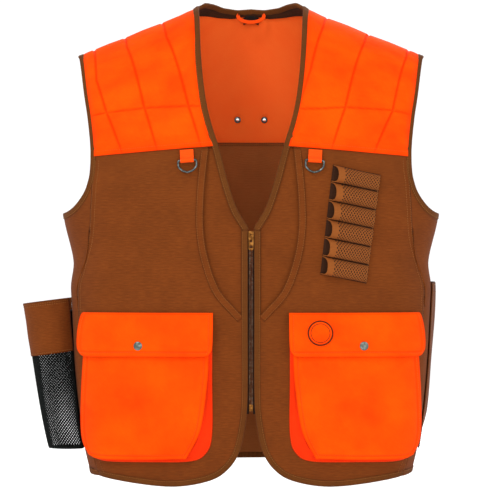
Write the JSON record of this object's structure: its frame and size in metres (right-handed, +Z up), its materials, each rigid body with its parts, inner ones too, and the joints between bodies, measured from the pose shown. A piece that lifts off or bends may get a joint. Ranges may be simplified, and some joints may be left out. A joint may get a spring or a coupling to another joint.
{
  "type": "field vest",
  "caption": "Sleeveless hip-length field vest with a front zip, shoulder pads, bellows pockets, shell loops, bottle pocket and rear game bag.",
  "frame": {"origin": "where a hook carries the hanger loop inside the back of the neck", "axes": "+X to the wearer's left, -Y to the front, +Z up"},
  "size_m": [0.6381, 0.2977, 0.7313],
  "materials": {
    "canvas_brown": "cotton duck canvas",
    "lining_brown": "canvas and oiled lining cloth",
    "facing_brown": "smooth facing cloth",
    "binding_brown": "folded binding tape",
    "blaze_orange": "dyed twill",
    "orange_webbing": "narrow webbing",
    "elastic_brown": "knitted elastic",
    "mesh_black": "open knitted mesh",
    "label_black": "woven label, blank",
    "gunmetal": "gunmetal plate",
    "zip_brass": "antique finish",
    "zip_tape": "woven tape"
  },
  "bodies": {
    "vest": {"front_panel_L": "canvas_brown", "front_panel_R": "canvas_brown", "inner_front_L": "canvas_brown", "inner_front_R": "canvas_brown", "side_panel_L": "canvas_brown", "side_panel_R": "canvas_brown", "back_panel": "canvas_brown", "pocket_band_L": "canvas_brown", "pocket_band_R": "canvas_brown", "bottle_band": "canvas_brown", "back_lining": "lining_brown", "game_bag": "lining_brown", "neck_facing": "facing_brown", "neck_binding": "binding_brown", "front_binding_L": "binding_brown", "front_binding_R": "binding_brown", "back_hem_binding": "binding_brown", "armhole_binding_L": "binding_brown", "armhole_binding_R": "binding_brown", "shoulder_pad_L": "blaze_orange", "shoulder_pad_R": "blaze_orange", "back_yoke": "blaze_orange", "pocket_front_L": "blaze_orange", "pocket_front_R": "blaze_orange", "pocket_gusset_L": "blaze_orange", "pocket_gusset_R": "blaze_orange", "ring_loop_L": "orange_webbing", "ring_loop_R": "orange_webbing", "hanger_loop": "orange_webbing", "shell_backing": "elastic_brown", "shell_loop_1": "elastic_brown", "shell_loop_2": "elastic_brown", "shell_loop_3": "elastic_brown", "shell_loop_4": "elastic_brown", "shell_loop_5": "elastic_brown", "shell_loop_6": "elastic_brown", "bottle_mesh": "mesh_black", "neck_label": "label_black", "snap_stud_L": "gunmetal", "snap_stud_R": "gunmetal", "grommet_L": "gunmetal", "grommet_R": "gunmetal", "zip_teeth_L": "zip_brass", "zip_teeth_R": "zip_brass", "zip_stop_L": "zip_brass", "zip_stop_R": "zip_brass", "zip_box": "zip_brass", "zip_tape_L": "zip_tape", "zip_tape_R": "zip_tape"},
    "flap_L": {"pocket_flap_L": "blaze_orange", "snap_cap_L": "gunmetal", "round_patch": "blaze_orange"},
    "flap_R": {"pocket_flap_R": "blaze_orange", "snap_cap_R": "gunmetal"},
    "slider": {"zip_slider": "zip_brass"},
    "pull": {"zip_pull": "zip_brass"},
    "ring_L": {"d_ring_L": "gunmetal"},
    "ring_R": {"d_ring_R": "gunmetal"}
  },
  "joints": [
    {"name": "flap_hinge_L", "type": "hinge", "parent": "vest", "child": "flap_L", "pos_m": [0.17, -0.1824, -0.4462], "axis": [-0.9623, -0.2718, 0], "range_deg": [0, 110]},
    {"name": "flap_hinge_R", "type": "hinge", "parent": "vest", "child": "flap_R", "pos_m": [-0.17, -0.1824, -0.4462], "axis": [-0.9623, 0.2718, 0], "range_deg": [0, 110]},
    {"name": "zip_slide", "type": "slide", "parent": "vest", "child": "slider", "axis": [0, 0, -1], "range_m": [0, 0.24]},
    {"name": "pull_swing", "type": "hinge", "parent": "slider", "child": "pull", "pos_m": [0, -0.19611, -0.3358], "axis": [-1, 0, 0], "range_deg": [0, 150]},
    {"name": "ring_swing_L", "type": "hinge", "parent": "vest", "child": "ring_L", "pos_m": [0.09452, -0.19642, -0.22062], "axis": [-0.9957, -0.0613, 0.0691], "range_deg": [0, 150]},
    {"name": "ring_swing_R", "type": "hinge", "parent": "vest", "child": "ring_R", "pos_m": [-0.09452, -0.19642, -0.22062], "axis": [-0.9957, 0.0613, -0.0691], "range_deg": [0, 150]}
  ]
}
